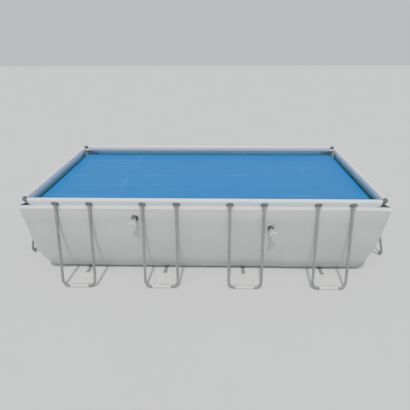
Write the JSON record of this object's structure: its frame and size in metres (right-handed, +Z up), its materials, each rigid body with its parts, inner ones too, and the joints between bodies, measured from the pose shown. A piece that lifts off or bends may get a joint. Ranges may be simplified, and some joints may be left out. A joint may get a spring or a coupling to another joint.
{
  "type": "above-ground frame pool with solar cover",
  "caption": "Rectangular above-ground pool: grey liner hung from a tubular top rail on outward-leaning U-shaped supports, with ground straps, side valves and a floating blue solar cover.",
  "frame": {"origin": "on the ground, under the middle of the pool", "axes": "+X along the long side, +Y away from the side with the two valves, +Z up"},
  "size_m": [6.4346, 3.6846, 1.32],
  "materials": {
    "beam_steel": "powder-coated, satin",
    "support_steel": "powder-coated grey, satin",
    "corner_plastic": "moulded, satin",
    "collar_plastic": "moulded, satin",
    "spring_steel": "plain spring steel",
    "button_steel": "plain steel",
    "liner_wall": "welded three-ply vinyl, grey outside, pale blue inside",
    "liner_sleeve": "welded vinyl, pale grey",
    "liner_floor": "welded vinyl, pale blue inside",
    "strap_webbing": "coated white webbing",
    "rod_plastic": "moulded white",
    "cover_film": "blue bubble film",
    "dark_plastic": "moulded dark grey",
    "pale_plastic": "moulded pale grey",
    "washer_rubber": "moulded black"
  },
  "bodies": {
    "pool": {"beam_back_1": "beam_steel", "beam_back_2": "beam_steel", "beam_back_3": "beam_steel", "beam_back_4": "beam_steel", "beam_front_1": "beam_steel", "beam_front_2": "beam_steel", "beam_front_3": "beam_steel", "beam_front_4": "beam_steel", "beam_left_1": "beam_steel", "beam_left_2": "beam_steel", "beam_right_1": "beam_steel", "beam_right_2": "beam_steel", "connecting_rods": "rod_plastic", "corner_joint_back_left": "corner_plastic", "corner_joint_back_right": "corner_plastic", "corner_joint_front_left": "corner_plastic", "corner_joint_front_right": "corner_plastic", "drain_valve": "pale_plastic", "leg_collars": "collar_plastic", "liner_floor": "liner_floor", "liner_sleeve_back": "liner_sleeve", "liner_sleeve_front": "liner_sleeve", "liner_sleeve_left": "liner_sleeve", "liner_sleeve_right": "liner_sleeve", "liner_wall_back": "liner_wall", "liner_wall_front": "liner_wall", "liner_wall_left": "liner_wall", "liner_wall_right": "liner_wall", "lock_nuts": "dark_plastic", "restraint_straps": "strap_webbing", "rubber_washers": "washer_rubber", "spring_clips": "spring_steel", "strainer_connectors": "pale_plastic", "support_back_1": "support_steel", "support_back_2": "support_steel", "support_back_3": "support_steel", "support_back_4": "support_steel", "support_front_1": "support_steel", "support_front_2": "support_steel", "support_front_3": "support_steel", "support_front_4": "support_steel", "support_left_1": "support_steel", "support_left_2": "support_steel", "support_right_1": "support_steel", "support_right_2": "support_steel", "valve_left_body": "pale_plastic", "valve_right_body": "pale_plastic"},
    "solar_cover": {"solar_cover": "cover_film"},
    "plunger_left": {"valve_left_plunger": "pale_plastic"},
    "knob_left": {"valve_left_knob": "dark_plastic"},
    "union_nut_left": {"valve_left_union_nut": "dark_plastic"},
    "plunger_right": {"valve_right_plunger": "pale_plastic"},
    "knob_right": {"valve_right_knob": "dark_plastic"},
    "union_nut_right": {"valve_right_union_nut": "dark_plastic"},
    "drain_cap": {"drain_cap": "dark_plastic"},
    "leg_buttons_left": {"leg_buttons_left": "button_steel"},
    "leg_buttons_right": {"leg_buttons_right": "button_steel"},
    "leg_buttons_front": {"leg_buttons_front": "button_steel"},
    "leg_buttons_back": {"leg_buttons_back": "button_steel"},
    "rail_buttons": {"rail_buttons": "button_steel"}
  },
  "joints": [
    {"name": "cover_lift", "type": "slide", "parent": "pool", "child": "solar_cover", "axis": [0, 0, 1], "range_m": [0, 0.6]},
    {"name": "plunger_left_slide", "type": "slide", "parent": "pool", "child": "plunger_left", "axis": [0, 0, 1], "range_m": [0, 0.045]},
    {"name": "knob_left_turn", "type": "hinge", "parent": "plunger_left", "child": "knob_left", "pos_m": [-1.03, -1.503, 1.03], "axis": [0, 0, 1], "range_deg": [0, 90]},
    {"name": "union_nut_left_turn", "type": "hinge", "parent": "pool", "child": "union_nut_left", "pos_m": [-1.03, -1.443, 1.03], "axis": [0, -1, 0], "continuous": true},
    {"name": "plunger_right_slide", "type": "slide", "parent": "pool", "child": "plunger_right", "axis": [0, 0, 1], "range_m": [0, 0.045]},
    {"name": "knob_right_turn", "type": "hinge", "parent": "plunger_right", "child": "knob_right", "pos_m": [1.03, -1.517, 0.88], "axis": [0, 0, 1], "range_deg": [0, 90]},
    {"name": "union_nut_right_turn", "type": "hinge", "parent": "pool", "child": "union_nut_right", "pos_m": [1.03, -1.457, 0.88], "axis": [0, -1, 0], "continuous": true},
    {"name": "drain_cap_pull", "type": "slide", "parent": "pool", "child": "drain_cap", "axis": [0, 1, 0], "range_m": [0, 0.06]},
    {"name": "leg_buttons_left_press", "type": "slide", "parent": "pool", "child": "leg_buttons_left", "axis": [1, 0, 0], "range_m": [0, 0.004], "stiffness_N_per_m": 3000, "springref_m": -0.004},
    {"name": "leg_buttons_right_press", "type": "slide", "parent": "pool", "child": "leg_buttons_right", "axis": [-1, 0, 0], "range_m": [0, 0.004], "stiffness_N_per_m": 3000, "springref_m": -0.004},
    {"name": "leg_buttons_front_press", "type": "slide", "parent": "pool", "child": "leg_buttons_front", "axis": [0, 1, 0], "range_m": [0, 0.004], "stiffness_N_per_m": 3000, "springref_m": -0.004},
    {"name": "leg_buttons_back_press", "type": "slide", "parent": "pool", "child": "leg_buttons_back", "axis": [0, -1, 0], "range_m": [0, 0.004], "stiffness_N_per_m": 3000, "springref_m": -0.004},
    {"name": "rail_buttons_press", "type": "slide", "parent": "pool", "child": "rail_buttons", "axis": [0, 0, 1], "range_m": [0, 0.005], "stiffness_N_per_m": 3000, "springref_m": -0.004}
  ]
}
